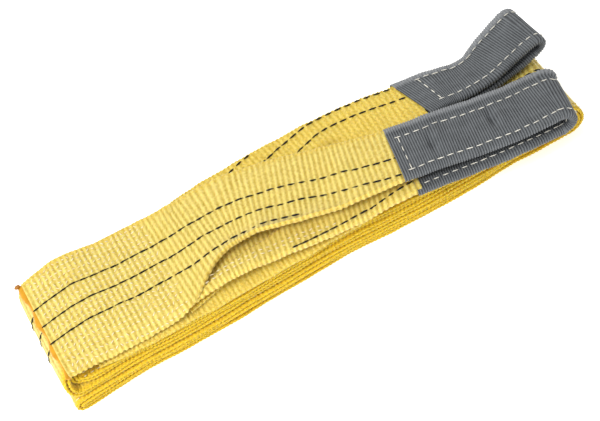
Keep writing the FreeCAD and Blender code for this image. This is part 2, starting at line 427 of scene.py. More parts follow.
def dented(x, y, dents):
    """Height of small dents at a place; dents has rows of x, place across, two sizes and a height."""
    total = 0.0
    for where_x, where_y, size_x, size_y, height in dents:
        off = ((x - where_x) / size_x) ** 2 + ((y - where_y) / size_y) ** 2
        total = total + height * np.exp(-off)
    return total


def crumple(along, across, size, seed):
    """Unevenness of limp cloth: slow waves in both directions, from a fixed seed."""
    draw = np.random.default_rng(seed)
    total = 0.0
    for wavelength, share in ((71.0, 0.5), (37.0, 0.6), (23.0, 0.45), (13.0, 0.3)):
        start, lean, bend = draw.uniform(0, 2 * np.pi), draw.uniform(-0.7, 0.7), draw.uniform(0.3, 0.9)
        run = along + lean * across + 4.0 * bend * np.sin(across / 15.0 + start)
        total = total + share * np.sin(2 * np.pi * run / wavelength + start)
    return size * total


def sweep(name, path, sideways, a, h, along, depth, edge_and_light_mark, field, square, tint=1.0):
    """Carries the ring (a across, h up) along the path and raises its ribs and selvedge knots.

    square runs from 0, where the ring leans with the path, to 1, where it faces along it."""
    tangent = unit(np.gradient(path, axis=0))
    turn = np.broadcast_to(square, len(path))[:, None]
    sideways = sideways - turn * np.sum(sideways * tangent, axis=1, keepdims=True) * tangent
    sideways = unit(sideways)
    upward = unit(np.cross(tangent, sideways))
    na, nh = ring_normals(a, h)
    knots = np.arange(a.shape[1])[None, :] * KNOT_SLANT
    across = girth(a, h)
    jitter = crumple(along[:, None], a, 0.07, 31)
    strong = 0.75 + np.clip(crumple(along[:, None], a, 0.22, 32), -0.4, 0.4)
    ribs = depth * strong * (np.cos(2 * np.pi * (along[:, None] / RIB + jitter)) - 1)
    braid = KNOT_HEIGHT * (np.cos(2 * np.pi * along[:, None] / KNOT + knots) - 1)
    lift = np.where(edge_and_light_mark[None, :] > 0.5, braid, ribs)
    a = a + na * lift
    h = h + nh * lift
    h = h + field(along[:, None], a)
    rings = path[:, None, :] + a[..., None] * sideways[:, None, :] + h[..., None] * upward[:, None, :]
    marks = np.broadcast_to(tint * edge_and_light_mark[None, :], a.shape).ravel()
    return skin(name, rings, across, along, marks, webbing)


# %% [markdown]
# The ring itself: a flat top and bottom with half-round selvedges. Going round with +across to the
# right and +up at the top, the points run clockwise, which makes the faces point outwards.


# %% Ring of one ply
def ply_ring(width, thickness, columns=11, corner=5):
    """Across and up coordinates of a flat ply, and which of its points are selvedge."""
    radius = thickness / 2
    flat = np.linspace(-width / 2 + radius, width / 2 - radius, columns)
    turn = np.linspace(np.pi / 2, -np.pi / 2, corner + 2)[1:-1]
    out, rise = radius * np.cos(turn), radius * np.sin(turn)
    top = np.full(columns, radius)
    a = np.concatenate([flat, flat[-1] + out, flat[::-1], flat[0] - out])
    h = np.concatenate([top, rise, -top, -rise])
    is_edge = (np.abs(a) > width / 2 - radius - 0.1).astype(float)
    return a, h, is_edge


# %% [markdown]
# ## The folded body
# The body is two plies sewn together, folded over and over. Both follow one path: six straight runs
# joined by half turns. The runs sag a little between the fold bulbs and wander sideways by about a
# millimetre, as limp cloth does, so the stack doesn't look machined.

# %% Path of the folded body
BODY_LEFT, BODY_RIGHT = body_low[0], body_high[0]
LEFT_FOLD = BODY_LEFT + 1.5 * PITCH + DUPLEX / 2
MID_FOLD = BODY_LEFT + 1.0 + PITCH / 2 + DUPLEX / 2
RIGHT_FOLD = BODY_RIGHT - 1.5 * PITCH - DUPLEX / 2
RUNS = (
    (5, SPLICE_END, LEFT_FOLD),
    (2, LEFT_FOLD, RIGHT_FOLD),
    (1, RIGHT_FOLD, MID_FOLD),
    (0, MID_FOLD, RIGHT_FOLD),
    (3, RIGHT_FOLD, LEFT_FOLD),
    (4, LEFT_FOLD, SPLICE_END),
)


def layer_z(layer):
    return layer * PITCH + DUPLEX / 2


def body_path(step=0.5):
    """Points of the middle of the two plies, with the layer height each is near."""
    points = []
    for n, (layer, start, end) in enumerate(RUNS):
        count = int(abs(end - start) / step)
        for x in np.linspace(start, end, count, endpoint=False):
            points.append((x, 0.0, layer_z(layer)))
        if n + 1 == len(RUNS):
            points.append((end, 0.0, layer_z(layer)))
            break
        following = RUNS[n + 1][0]
        middle = (layer_z(layer) + layer_z(following)) / 2
        radius = (layer_z(layer) - layer_z(following)) / 2
        outward = 1 if end > start else -1
        turns = max(int(abs(radius) * np.pi / step), 6)
        for angle in np.linspace(0, np.pi, turns, endpoint=False):
            x = end + outward * abs(radius) * math.sin(angle)
            points.append((x, 0.0, middle + radius * math.cos(angle)))
    return np.array(points)


def hump(x, middle, reach):
    """A smooth hump of height 1."""
    return np.exp(-(((x - middle) / reach) ** 2))


# How far each layer lies to the far side and above its even place, from the bottom up.
DRIFT = (0.0, -0.8, 0.2, 0.8, 1.6, 1.8)
PRESSED = (0.0, -0.55, 0.15, -0.5, -0.5, 0.0)
# Rows of x and how far the whole stack lies to the far side there.
SWERVE = [(-199, 0.0), (-187, 1.0), (-166, 3.0), (-149, 4.6), (-135, 3.8), (-109, 1.8), (-27, 1.2)]
SWERVE += [(20, 0.9), (65, -2.2), (113, -2.6), (150, -2.2), (173, -3.4), (199, -3.8)]


# Length of the fold bulbs, and how softly the sag starts beside them.
BULB = 48.0
BULB_SOFT = 9.0


def settle(path):
    """Lets the stack sag between its fold bulbs, lift off the floor beside them, and wander."""
    x, z = path[:, 0], path[:, 2]
    past_left = (x - BODY_LEFT - BULB) / BULB_SOFT
    past_right = (x - BODY_RIGHT + BULB) / BULB_SOFT
    inside = 1 / (1 + np.exp(-past_left)) / (1 + np.exp(past_right))
    sag = 1 - 0.03 * inside - 0.12 * hump(x, 142, 34)
    levels = [layer_z(layer) for layer in range(6)]
    lift = 1.1 * (hump(x, BODY_LEFT + 60, 11) + hump(x, BODY_RIGHT - 57, 11))
    height = layer_z(5)
    low = np.clip(1 - z / (0.7 * height), 0, 1)
    moved = path.copy()
    moved[:, 0] = x + 2.5 * hump(x, BODY_LEFT, 9) * np.clip(z / height, 0, 1)
    moved[:, 2] = z * sag + lift * low + np.interp(z, levels, PRESSED) * inside
    along = lengths_along(path)
    moved[:, 1] = 0.5 * np.sin(along / 83 + 0.5) + 0.3 * np.sin(along / 37)
    left = 0.45 + 0.55 * np.clip(1 - z / 30 + (x + 60) / 100, 0, 1)
    moved[:, 1] += np.interp(z, levels, DRIFT) + left * through(*np.array(SWERVE, float).T, x)
    return moved


def body_ply(name, offset, seed):
    """One ply of the body. Returns the piece, a function for places on its face, and its length."""
    path = settle(body_path())
    along, (path,) = resample(path, BODY_STEP)
    tangent = unit(np.gradient(path, axis=0))
    sideways = np.tile([0.0, 1.0, 0.0], (len(path), 1))
    upward = unit(np.cross(tangent, sideways))
    path = path + offset * upward
    path[:, 1] += 0.5 * np.sin(along / 33 + seed) + 0.25 * np.sin(along / 9.0 + 2 * seed)
    a, h, is_edge = ply_ring(WIDTH, PLY)
    tucked = np.maximum(1 - ease((along - 78) / 26), 1 - ease((along[-1] - along - 82) / 26))
    a = a[None, :] * (1 - 5.0 / WIDTH * tucked[:, None]) + 2.0 * tucked[:, None]
    a = a + 2.5 * tucked[:, None] * np.clip(-a / 45, 0, 1)
    h = np.tile(h, (len(path), 1))

    def on_face(at, reach, lift=0.0):
        here = [np.interp(at, along, column) for column in (*path.T, *upward.T)]
        out = PLY / 2 + lift - body_unevenness(at, reach)
        return np.array(here[:3]) + [0, reach, 0] - out * np.array(here[3:6])

    height = BODY_RIB_HEIGHT
    made = sweep(name, path, sideways, a, h, along, height, is_edge, body_unevenness, square=0.0)
    return made, on_face, along[-1]


def body_unevenness(along, across):
    return crumple(along, across, 0.22, 11)


outer, on_outer, BODY_LENGTH = body_ply("outer_ply", -(PLY + PLY_GAP) / 2, 0.0)
inner, _, _ = body_ply("inner_ply", (PLY + PLY_GAP) / 2, 1.3)
print("body plies:", len(outer.data.polygons), len(inner.data.polygons))


# %% [markdown]
# ## Straps of the eyes
# A leg is as wide as the body at the splice and about half as wide at its sleeve. It gets there by
# folding one margin in under itself, the near one on the near eye and the back one on the back
# eye, so its ring changes from station to station: the flat face narrows while the flap grows.


# %% Ring of a strap with one margin folded in
def folded_ring(width, flap, side, thickness, fold_up=False, columns=16, corner=5):
    """Per station: face width, flap reach, and a ring of one ply with that flap under one side.

    side is -1 for the near margin and +1 for the back one; the ring's own +a is always the folded
    side, and the result is mirrored for side -1."""
    stations = len(width)
    open_flap = ease(flap / 8.0)
    a_parts, h_parts, edge_parts = [], [], []

    def add(a, h, edge_and_light_mark):
        a_parts.append(np.broadcast_to(a, (stations,)))
        h_parts.append(np.broadcast_to(h, (stations,)))
        edge_parts.append(edge_and_light_mark)

    half = thickness / 2
    depth = half + open_flap * (thickness + FLAP_GAP)
    for t in np.linspace(0, 1, columns):
        a = -width / 2 + half + t * (width - half - half)
        crown = -0.5 * open_flap * np.clip((t - 0.86) / 0.14, 0, 1) ** 2
        add(a, half + crown, 1.0 if t == 0 else 0.0)
    for turn in np.linspace(0, np.pi, corner + 2)[1:-1]:
        reach = (half + depth) / 2
        add(width / 2 - half + 0.9 * half * np.sin(turn), half - reach + reach * np.cos(turn), 0.35)
    for t in np.linspace(0, 1, 7):
        add(width / 2 - half - t * np.maximum(flap, 0.05), -depth, 1.0 if t == 1 else 0.0)
    tip = width / 2 - half - np.maximum(flap, 0.05)
    add(tip - 0.6 * half * open_flap, -(depth + half) / 2, 1.0)
    add(tip - 0.2 * half * open_flap, -half - 0.02, 1.0)
    for t in np.linspace(0.02, 1, 9):
        add(tip + t * (-width / 2 + half - tip), -half, 0.0)
    for turn in np.linspace(-np.pi / 2, np.pi / 2, corner + 2)[1:-1]:
        add(-width / 2 + half - half * np.cos(turn), half * np.sin(turn), 1.0)
    a = np.stack(a_parts, axis=1)
    h = np.stack(h_parts, axis=1)
    edge_and_light_mark = np.array(edge_parts)
    if side < 0:
        a, h, edge_and_light_mark = -a[:, ::-1], h[:, ::-1], edge_and_light_mark[::-1]
    if fold_up:
        h = -h
        a, h, edge_and_light_mark = a[:, ::-1], h[:, ::-1], edge_and_light_mark[::-1]
    return a, h, edge_and_light_mark


# %% [markdown]
# Each leg's run is stated at a few stations along X: the Y of its far and near edges, its height,
# and how much its face tilts. The near eye's upper leg arches up off the lower one, which leaves
# the mouth that a hook goes into.

# %% Legs: stations
joints = {j["name"]: j for j in frame["joints"]}
NEAR_PIN = np.array(joints["near_eye_lift"]["pos_m"]) / MM
BACK_PIN = np.array(joints["back_eye_lift"]["pos_m"]) / MM
# How far a leg runs on inside its sleeve, and how wide the margin is that hangs down.
MOUTH_REACH = 9.0
DROOP_REACH = 14.0
# A leg faces along its path from this far past the splice's end, over this length.
SQUARE_FROM = 16.0
SQUARE_OVER = 50.0
print("near mouth", NEAR_PIN, "back mouth", BACK_PIN)


def leg(
    name, stations, flap_side, fold_up=False, uneven=0.45, seed=1, dents=(), droop=None, painted_shade=0.0
):
    """A strap from rows of x, far edge y, near edge y, top z, tilt in degrees and flap reach.

    droop has rows of x and how far the near margin hangs; the last argument deepens the faces' colour
    towards the edge colour, as painted shade. Returns the piece and a function that gives a point on its
    upper face from x and a distance from the far edge (or from the near edge, if that distance is
    negative)."""
    x, far, near, top, tilt, flap = np.array(stations, float).T
    at = np.linspace(x[0], x[-1], int((x[-1] - x[0]) / LEG_STEP))
    far, near, top, tilt, flap = (through(x, v, at) for v in (far, near, top, tilt, flap))
    tilt = np.radians(tilt)
    flap = np.maximum(flap, 0)
    sideways = np.stack([0 * at, np.cos(tilt), np.sin(tilt)], axis=1)
    upward = np.stack([0 * at, -np.sin(tilt), np.cos(tilt)], axis=1)
    path = np.stack([at, (far + near) / 2, top], axis=1) - upward * PLY / 2
    width = (far - near) / np.cos(tilt)
    along, (path, sideways, rest) = resample(
        path, LEG_STEP, sideways, np.stack([width, flap], axis=1)
    )
    a, h, edge_and_light_mark = folded_ring(rest[:, 0], rest[:, 1], flap_side, PLY - 0.1, fold_up)
    # Painted shade: the faces take on part of the deeper edge colour.
    edge_and_light_mark = np.maximum(edge_and_light_mark, painted_shade)
    starts_at = path[0, 0]

    def field(run, across):
        near_ends = ease((run - 2) / 20) * ease((along[-1] - run) / 20)
        rise = crumple(run, across, uneven, seed) * near_ends
        rise = rise + dented(run + starts_at, across, dents)
        if droop:
            hang = through(*np.array(droop, float).T, run + starts_at)
            wide = np.interp(run, along, rest[:, 0])
            past = np.clip(1 - (across + wide / 2) / DROOP_REACH, 0, 1.2)
            rise = rise - hang * past**2
        return rise

    square = ease((path[:, 0] - SPLICE_END - SQUARE_FROM) / SQUARE_OVER)
    made = sweep(
        name, path, sideways, a, h, along, LEG_RIB_HEIGHT, edge_and_light_mark, field, square=square, tint=0.4
    )

    def on_face(at_x, from_edge, lift=0.0):
        columns = (*path.T, *sideways.T, *rest.T, along)
        here = [np.interp(at_x, path[:, 0], column) for column in columns]
        place, across, wide = np.array(here[:3]), np.array(here[3:6]), here[6]
        reach = wide / 2 - from_edge if from_edge >= 0 else -wide / 2 - from_edge
        normal = np.array([0.0, -across[2], across[1]])
        return place + reach * across + (PLY / 2 + lift + field(here[8], reach)) * normal

    return made, on_face


# %% Near eye's legs
LAP_START = lap_low[0]
NEAR_MOUTH = NEAR_PIN[0] - 2.0
near_upper, on_near_upper = leg(
    "near_leg_upper",
    [
        # x, far y, near y, top z, tilt, flap
        (LAP_START, 45.4, -43.5, LAP_Z + PLY - 0.2, 0.6, 0.0),
        (LAP_START + 12, 46.0, -43.2, LAP_Z + PLY + 1.4, 2.0, 0.0),
        (LAP_START + 26, 46.6, -43.0, LAP_Z + PLY + 2.4, 3.0, 0.0),
        (LAP_START + 48, 45.6, -43.0, LAP_Z + PLY + 1.1, 1.8, 0.0),
        (LAP_START + 68, 44.4, -43.2, LAP_Z + PLY + 0.2, 0.4, 0.0),
        (SPLICE_END + 2, 43.2, -43.5, LAP_Z + PLY + 0.5, 0.0, 0.5),
        (-87.0, 41.4, -37.0, 43.4, -1.0, 8.0),
        (-70.0, 40.8, -27.5, 45.4, -2.5, 18.0),
        (-50.0, 39.0, -25.2, 47.2, -3.0, 24.0),
        (-30.0, 34.0, -28.5, 48.4, -2.5, 27.0),
        (0.0, 23.8, -37.0, 48.6, -1.0, 29.0),
        (28.0, 12.4, -43.2, 48.6, 0.0, 34.0),
        (NEAR_MOUTH, -1.2, -48.0, 48.7, 0.0, 40.0),
        (NEAR_MOUTH + MOUTH_REACH, -3.4, -50.0, 48.6, 0.0, 41.0),
    ],
    flap_side=-1,
    seed=21,
    dents=[(-26.0, -18.0, 8.0, 12.0, 1.1), (18.0, -8.0, 7.0, 14.0, -0.8), (40.0, 4.0, 6.0, 9.0, 0.8)],
    droop=[(LAP_START, 3.0), (-165.0, 7.5), (-118.0, 8.0), (-99.0, 3.5), (-84.0, 0.0), (80.0, 0.0)],
)
near_lower, on_near_lower = leg(
    "near_leg_lower",
    [
        (SPLICE_END + 0.5, 43.0, -40.5, 35.4, 0.0, 0.0),
        (-72.0, 41.0, -41.0, 38.6, -2.0, 7.0),
        (-40.0, 34.0, -43.2, 37.6, -2.5, 14.0),
        (0.0, 22.0, -47.0, 35.0, -1.0, 26.0),
        (30.0, 12.0, -50.5, 34.8, 0.0, 32.0),
        (NEAR_MOUTH, -5.0, -53.0, 35.0, 0.0, 38.0),
        (NEAR_MOUTH + MOUTH_REACH, -7.0, -54.0, 35.0, 0.0, 38.0),
    ],
    flap_side=-1,
    fold_up=True,
    seed=23,
    droop=[(-101.0, 0.0), (-70.0, 0.8), (0.0, 1.6), (50.0, 1.0), (67.0, 0.0), (80.0, 0.0)],
)

# %% Back eye's legs
BACK_MOUTH = BACK_PIN[0] - 2.0
back_upper, on_back_upper = leg(
    "back_leg_upper",
    [
        (SPLICE_END + 0.5, 42.6, -43.0, 33.0, 0.0, 0.0),
        (-88.0, 45.2, -39.8, 33.6, 2.0, 2.5),
        (-66.0, 49.0, -33.5, 34.4, 3.5, 7.5),
        (-30.0, 50.0, -24.0, 34.6, 5.0, 15.0),
        (0.0, 49.6, -18.0, 35.2, 6.0, 22.0),
        (30.0, 48.2, -12.0, 36.0, 6.0, 29.0),
        (50.0, 46.0, -7.5, 37.0, 6.0, 34.0),
        (75.0, 41.5, -4.5, 39.4, 3.0, 38.0),
        (BACK_MOUTH, 37.0, -3.0, 40.5, 0.0, 40.0),
        (BACK_MOUTH + MOUTH_REACH, 36.4, -2.5, 40.4, 0.0, 40.0),
    ],
    flap_side=1,
    seed=22,
    # Painted shade over this leg, which lies behind the near eye's upper leg.
    painted_shade=0.9,
    dents=[(33.0, 6.0, 14.0, 4.0, 2.8), (40.0, -1.0, 9.0, 3.0, -3.6), (62.0, 0.0, 10.0, 6.0, 1.4)],
)
back_lower, _ = leg(
    "back_leg_lower",
    [
        (-170.0, 44.0, -41.5, 31.4, 0.0, 0.0),
        (-150.0, 44.0, -43.6, 31.6, 0.0, 0.0),
        (SPLICE_END, 45.0, -44.8, 31.4, 0.0, 0.0),
        (-60.0, 45.5, -45.0, 31.2, 0.0, 0.2),
        (0.0, 46.0, -44.8, 30.6, 0.0, 0.2),
        (35.0, 45.0, -41.0, 29.6, 0.0, 5.0),
        (65.0, 43.0, -14.0, 28.8, 0.0, 30.0),
        (BACK_MOUTH, 39.5, -2.0, 29.6, 0.0, 40.0),
        (BACK_MOUTH + MOUTH_REACH, 39.0, -1.5, 29.6, 0.0, 40.0),
    ],
    flap_side=1,
    fold_up=True,
    seed=24,
    # Painted shade over this leg, which lies under the back eye's upper leg.
    painted_shade=0.8,
    droop=[
        (-170.0, 3.0),
        (-101.0, 5.2),
        (-60.0, 5.4),
        (0.0, 4.8),
        (35.0, 3.6),
        (55.0, 0.0),
        (110.0, 0.0),
    ],
)
print("legs:", [len(o.data.polygons) for o in (near_upper, near_lower, back_upper, back_lower)])

# %% [markdown]
# ## Wear sleeves
# Each sleeve is a flat woven tube pulled over the folded strap and sewn down. It runs out over the
# lower leg, turns round the eye's end and comes back over the upper leg, so one path carries its
# ring all the way. The ring's back edge has a raised rim where the tube's fold stands up.


# %% Ring of a sleeve
def tube_ring(width, thickness, rim, columns=30, corner=6):
    """A flat tube with rounded edges. The inner face is at +h; the rim stands out of the outer."""
    half = thickness / 2
    flat = np.linspace(-1, 1, columns)
    turn = np.linspace(np.pi / 2, -np.pi / 2, corner + 2)[1:-1]
    side = np.ones_like(width)[:, None]
    reach = (width / 2 - half * 0.8)[:, None]
    pillow = 0.45 * (1 - flat**4)
    inner_a, inner_h = reach * flat, side * (half - 0.3 + pillow * 0.5)
    outer_a = reach * flat[::-1]
    from_back = (1 - flat[::-1]) * width.mean() / 2
    ridge = np.clip((RIM_WIDTH - from_back) / 0.9, 0, 1)
    groove = np.exp(-(((from_back - RIM_WIDTH - 1.0) / 1.0) ** 2))
    outer_h = -side * (half - 0.3 + pillow[::-1] + rim * (ease(ridge) - 0.6 * groove))
    right_a = reach[:, :1] + 0.8 * half * np.cos(turn)[None, :]
    right_h = side * half * np.sin(turn)[None, :] * 0.92
    left_a = -reach[:, :1] - 0.8 * half * np.cos(turn)[None, :]
    left_h = -side * half * np.sin(turn)[None, :] * 0.92
    a = np.concatenate([inner_a, right_a, outer_a, left_a], axis=1)
    h = np.concatenate([inner_h, right_h, outer_h, left_h], axis=1)
    # Marks for the lighter edge colour: a painted highlight on the rounded sides and on the rim.
    edge_and_light_mark = np.zeros(a.shape[1])
    edge_and_light_mark[columns : columns + corner] = 0.5
    edge_and_light_mark[columns + corner : 2 * columns + corner] = 0.7 * ridge
    return a, h, edge_and_light_mark


# %% Path of an eye
SLEEVE_LEG = 7.0
SLEEVE_WALL = 1.0
MOUTH_DEPTH = 8.0
RIM_WIDTH = 4.8


def eye_path(upper, lower, bulge, forward):
    """Lower leg out, round the end and back along the upper leg.

    Rows of both: x, centre y, middle z, tilt, width. Returns path, sideways and widths."""

    def filled(rows):
        """The same rows at 300 even places."""
        x, *others = np.array(rows, float).T
        at = np.linspace(x[0], x[-1], 300)
        return np.stack([at] + [through(x, values, at) for values in others], axis=1)

    low, up = filled(lower), filled(upper)[::-1]
    start, end = low[-1], up[0]
    turn = np.linspace(-np.pi / 2, np.pi / 2, 42)[1:-1]
    share = (1 + np.sin(turn)) / 2
    round_end = start + share[:, None] * (end - start)
    radius = (end[2] - start[2]) / 2
    out = bulge * radius * np.cos(turn)
    ahead = np.array([math.cos(math.radians(forward)), math.sin(math.radians(forward))])
    round_end[:, 0] += out * ahead[0]
    round_end[:, 1] += out * ahead[1]
    rows = np.concatenate([low, round_end, up])
    path = rows[:, :3]
    heading = unit(np.gradient(path[:, :2], axis=0) + 1e-6)
    heading[len(low) : len(low) + len(turn)] = ahead
    heading[len(low) + len(turn) :] *= -1
    tilt = np.radians(rows[:, 3])
    sideways = np.stack(
        [-heading[:, 1] * np.cos(tilt), heading[:, 0] * np.cos(tilt), np.sin(tilt)], axis=1
    )
    return path, sideways, rows[:, 4:5]


# %% Sleeve with open mouths
def sleeve(name, path, sideways, width, rim, slant=0.0, thickness=SLEEVE_LEG, dents=(), seed=1):
    """A tube along the path. slant turns the upper mouth; a dent of positive height is sunk.

    Returns the piece and a function that gives a row of stitches' line along one of its faces."""
    along, (path, sideways, width) = resample(path, SLEEVE_STEP, sideways, width)
    a, h, edge_and_light_mark = tube_ring(width[:, 0], thickness, rim)
    na, nh = ring_normals(a, h)
    deep = int(MOUTH_DEPTH / SLEEVE_STEP)
    order = np.concatenate([[deep, 0], np.arange(len(path)), [len(path) - 1, len(path) - 1 - deep]])
    inset = np.zeros(len(order))
    inset[:2] = inset[-2:] = SLEEVE_WALL
    a, h = a[order] - inset[:, None] * na[order], h[order] - inset[:, None] * nh[order]
    tangent = unit(np.gradient(path, axis=0))
    across = unit(sideways - np.sum(sideways * tangent, axis=1, keepdims=True) * tangent)
    upward = np.cross(tangent, across)
    outward = np.stack([across[:, 1], -across[:, 0], 0 * across[:, 0]], axis=1)

    def shear(run, reach):
        """How far a point slides along the leg so that the upper mouth lies aslant."""
        left = np.clip(1 - (along[-1] - run) / 45.0, 0, 1)
        return -slant * ease(left) * reach / np.maximum(width.mean(), 1)

    def field(run, reach, place_x):
        calm = ease(run / 12) * ease((along[-1] - run) / 12)
        rise = crumple(run, reach, 0.38, seed) * calm
        upper = run > along[-1] / 2
        return rise + dented(place_x, reach, dents) * upper

    run = along[order][:, None]
    phase = run / SLEEVE_RIB
    raised = SLEEVE_RIB_HEIGHT * (np.cos(2 * np.pi * phase) - 1) * (inset == 0)[:, None]
    bump = field(run, a, path[order][:, :1])
    outer_side = np.clip(-h / 2.0 + 0.5, 0, 1)
    a, h = a + na[order] * raised, h + nh[order] * raised + bump * (0.3 + 0.7 * outer_side)
    rings = path[order][:, None, :] + a[..., None] * across[order][:, None, :]
    rings = rings + h[..., None] * upward[order][:, None, :]
    rings = rings + shear(run, a)[..., None] * outward[order][:, None, :]
    marks = np.broadcast_to(edge_and_light_mark[None, :], a.shape).ravel()
    made = skin(name, rings, girth(a, h), along[order], marks, sleeve_cloth)

    def row(share, outer, skips=(7.0, 7.0)):
        """A line on the sleeve: share of its half width from the middle, on one face."""
        reach = share * width[:, 0] / 2
        bump = field(along[:, None], reach[:, None], path[:, :1])
        rise = -(thickness / 2 + 0.22) + bump if outer else thickness / 2 + 0.05 + 0.3 * bump
        line = path + reach[:, None] * across + rise * upward
        line = line + shear(along, reach)[:, None] * outward
        keep = (along > skips[0]) & (along < along[-1] - skips[1])
        return line[keep]

    return made, row


near_cover, near_row = sleeve(
    "near_sleeve",
    *eye_path(
        upper=[
            (NEAR_MOUTH + 1, -25.2, 46.9, 0.0, 48.5),
            (93.0, -30.0, 46.2, 0.0, 48.5),
            (118.0, -35.6, 45.2, 0.0, 48.5),
            (143.0, -40.2, 44.2, 0.0, 48.0),
            (163.0, -42.8, 44.2, 0.0, 47.4),
            (177.5, -43.8, 43.6, 0.0, 46.5),
        ],
        lower=[
            (NEAR_MOUTH + 5, -31.0, 34.2, 0.0, 48.5),
            (98.0, -35.2, 33.6, 0.0, 48.5),
            (122.0, -39.4, 33.0, 0.0, 48.5),
            (147.0, -42.6, 32.6, 0.0, 48.5),
            (163.0, -43.6, 30.6, 0.0, 47.6),
            (176.0, -43.8, 29.2, 0.0, 46.5),
        ],
        bulge=1.25,
        forward=-9.5,
    ),
    rim=1.5,
    dents=[
        (94.0, -4.0, 2.6, 9.0, 3.6),
        (99.5, 3.0, 2.6, 8.0, -1.8),
        (136.0, 1.0, 2.6, 8.0, 4.4),
        (141.8, -2.0, 2.6, 8.0, -2.2),
        (119.0, 6.0, 2.6, 7.0, 0.8),
        (158.0, -14.0, 2.5, 6.0, 1.2),
    ],
    seed=4,
)
back_cover, back_row = sleeve(
    "back_sleeve",
    *eye_path(
        upper=[
            (BACK_MOUTH + 5, 17.0, 38.8, 0.0, 42.0),
            (120.0, 16.0, 37.8, -3.0, 40.5),
            (143.0, 13.0, 36.0, -8.0, 38.5),
            (157.0, 13.6, 36.4, -8.0, 38.5),
            (172.0, 17.0, 40.2, -4.0, 40.0),
            (193.5, 21.0, 44.6, 1.0, 42.0),
        ],
        lower=[
            (BACK_MOUTH + 3, 18.0, 29.6, 0.0, 42.0),
            (118.0, 16.6, 29.2, -2.0, 40.5),
            (143.0, 13.6, 28.8, -6.0, 38.0),
            (157.0, 14.2, 28.8, -5.0, 38.0),
            (172.0, 17.6, 29.8, -2.0, 40.0),
            (192.5, 21.8, 32.6, 0.0, 42.0),
        ],
        bulge=1.15,
        forward=6.0,
    ),
    rim=0.7,
    slant=12.5,
    thickness=6.4,
    dents=[
        (128.0, 4.0, 2.5, 9.0, 1.0),
        (150.0, -4.0, 3.0, 9.0, 1.2),
        (165.0, 6.0, 2.5, 8.0, -0.8),
        (176.0, 8.0, 2.2, 7.0, 1.0),
    ],
    seed=9,
)
print("sleeves:", len(near_cover.data.polygons), len(back_cover.data.polygons))

# %% [markdown]
# ## Thread and tracers
# Every row of thread is the same thing: short stitches, evenly spaced along a line on the cloth.
# A small Geometry Nodes tree does them all. It cuts each line into equal steps and lays one
# slim bead along the line at each step, with a little seeded disorder; the result is made a mesh.


# %% Stitch tree
def stitch_tree():
    tree = bpy.data.node_groups.new("stitch_rows", "GeometryNodeTree")
    face = tree.interface
    face.new_socket("Geometry", in_out="INPUT", socket_type="NodeSocketGeometry")
    for name, start in (("Pitch", 0.005), ("Length", 0.004), ("Radius", 0.0005), ("Disorder", 0.1)):
        face.new_socket(name, in_out="INPUT", socket_type="NodeSocketFloat").default_value = start
    face.new_socket("Seed", in_out="INPUT", socket_type="NodeSocketInt")
    face.new_socket("Yarn", in_out="INPUT", socket_type="NodeSocketMaterial")
    face.new_socket("Geometry", in_out="OUTPUT", socket_type="NodeSocketGeometry")
    given = tree.nodes.new("NodeGroupInput").outputs
    result = tree.nodes.new("NodeGroupOutput")
    lines = node(tree, "GeometryNodeMeshToCurve", {0: given["Geometry"]})
    cuts = {0: lines.outputs[0], "Length": given["Pitch"]}
    steps = node(tree, "GeometryNodeResampleCurve", cuts, mode="LENGTH")
    bead = node(tree, "GeometryNodeMeshUVSphere", {"Segments": 8, "Rings": 5, "Radius": 0.5})
    tangent = node(tree, "GeometryNodeInputTangent")
    aim = node(tree, "FunctionNodeAlignRotationToVector", {"Vector": tangent.outputs[0]}, axis="X")

    def random(low, high, offset):
        made = node(tree, "FunctionNodeRandomValue", {"Min": low, "Max": high}, data_type="FLOAT_VECTOR")
        put(made, "Seed", maths(tree, "ADD", given["Seed"], offset))
        return made.outputs[0]

    either_way = {0: random((-1, -1, -1), (1, 1, 1), 1), "Scale": given["Disorder"]}
    sway = node(tree, "ShaderNodeVectorMath", either_way, operation="SCALE")
    swing = {"Rotation": aim.outputs[0], "Rotate By": sway.outputs[0]}
    turned = node(tree, "FunctionNodeRotateRotation", swing)
    breadth, height = (maths(tree, "MULTIPLY", given["Radius"], share) for share in (2.0, 1.7))
    size = node(tree, "ShaderNodeCombineXYZ", {"X": given["Length"], "Y": breadth, "Z": height})
    uneven = {0: size.outputs[0], 1: random((0.8, 0.9, 0.9), (1.1, 1.1, 1.1), 2)}
    vary = node(tree, "ShaderNodeVectorMath", uneven, operation="MULTIPLY")
    beads = {
        "Points": steps.outputs[0],
        "Instance": bead.outputs[0],
        "Rotation": turned.outputs[0],
        "Scale": vary.outputs[0],
    }
    laid = node(tree, "GeometryNodeInstanceOnPoints", beads)
    real = node(tree, "GeometryNodeRealizeInstances", {0: laid.outputs[0]})
    smooth = node(tree, "GeometryNodeSetShadeSmooth", {0: real.outputs[0]})
    yarn = node(tree, "GeometryNodeSetMaterial", {0: smooth.outputs[0], "Material": given["Yarn"]})
    tree.links.new(yarn.outputs[0], result.inputs[0])
    return tree


STITCHES = stitch_tree()


